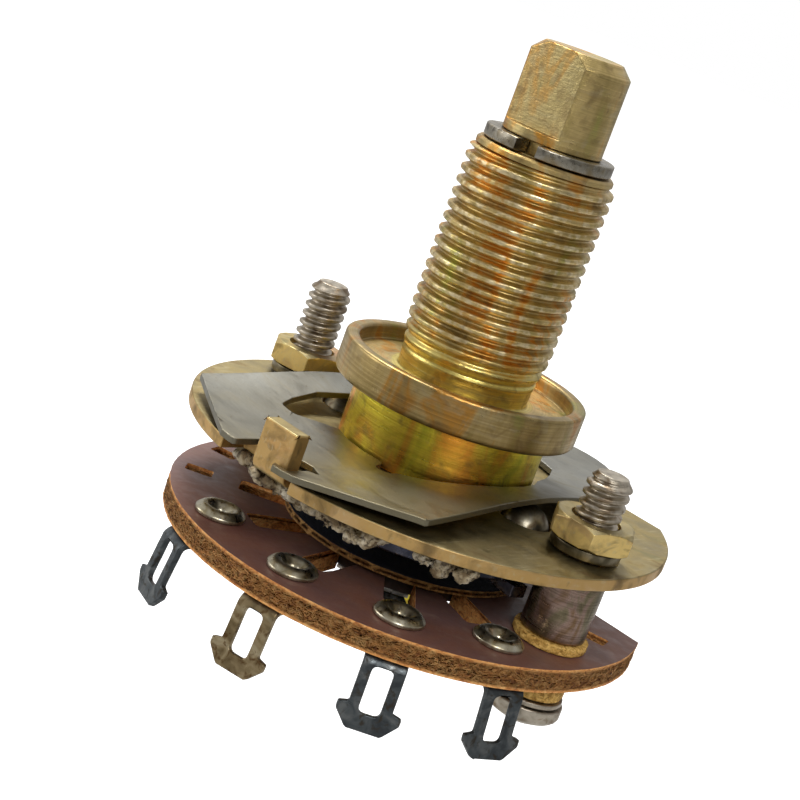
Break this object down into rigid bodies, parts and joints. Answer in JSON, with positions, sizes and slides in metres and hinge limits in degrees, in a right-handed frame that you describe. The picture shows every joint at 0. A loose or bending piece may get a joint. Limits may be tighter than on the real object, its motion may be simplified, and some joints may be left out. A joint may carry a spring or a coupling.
{
  "type": "rotary selector switch",
  "caption": "Single-wafer rotary selector switch with a threaded bushing, a D-flatted shaft, a ball detent and riveted solder lugs on a phenolic wafer.",
  "frame": {"origin": "centre of the shaft's flat lower end face, on the shaft axis", "axes": "+Z along the shaft axis towards its knob end; +X from the left screw to the right screw; -Y towards the upright locating tab"},
  "size_m": [0.0322, 0.0332, 0.0388],
  "materials": {
    "plated_brass": "yellow passivated, turned",
    "zinc": "yellow zinc chromate plating",
    "spring_steel": "dull nickel",
    "phenolic": "sawn laminate",
    "contact_metal": "tarnished dark grey",
    "eyelet_metal": "worn nickel",
    "steel": "plain, dulled",
    "dark_steel": "blued, oily",
    "fibre": "vulcanised fibre"
  },
  "bodies": {
    "frame": {"bushing": "plated_brass", "base_plate": "zinc", "detent_spring": "spring_steel", "wafer": "phenolic", "contact_lug_1": "contact_metal", "contact_lug_2": "contact_metal", "contact_lug_3": "contact_metal", "contact_lug_4": "contact_metal", "eyelet_1": "eyelet_metal", "eyelet_2": "eyelet_metal", "eyelet_3": "eyelet_metal", "eyelet_4": "eyelet_metal", "screw_left": "steel", "nut_left": "zinc", "lock_washer_left": "dark_steel", "spacer_left": "dark_steel", "upper_fibre_washer_left": "fibre", "lower_fibre_washer_left": "fibre", "lower_lock_washer_left": "dark_steel", "screw_right": "steel", "nut_right": "zinc", "lock_washer_right": "dark_steel", "spacer_right": "dark_steel", "upper_fibre_washer_right": "fibre", "lower_fibre_washer_right": "fibre", "lower_lock_washer_right": "dark_steel"},
    "spindle": {"shaft": "plated_brass", "retaining_ring": "steel", "index_wheel": "dark_steel", "insulating_disc": "fibre", "rotor": "phenolic", "rotor_contact": "contact_metal"},
    "ball_right": {"detent_ball_right": "steel"},
    "ball_left": {"detent_ball_left": "steel"}
  },
  "joints": [
    {"name": "shaft_turn", "type": "hinge", "parent": "frame", "child": "spindle", "pos_m": [0, 0, 0.0092], "axis": [0, 0, 1], "range_deg": [-150, 0]},
    {"name": "ball_right_lift", "type": "slide", "parent": "frame", "child": "ball_right", "axis": [0, 0, 1], "range_m": [0, 0.00025]},
    {"name": "ball_left_lift", "type": "slide", "parent": "frame", "child": "ball_left", "axis": [0, 0, 1], "range_m": [0, 0.00025]}
  ]
}
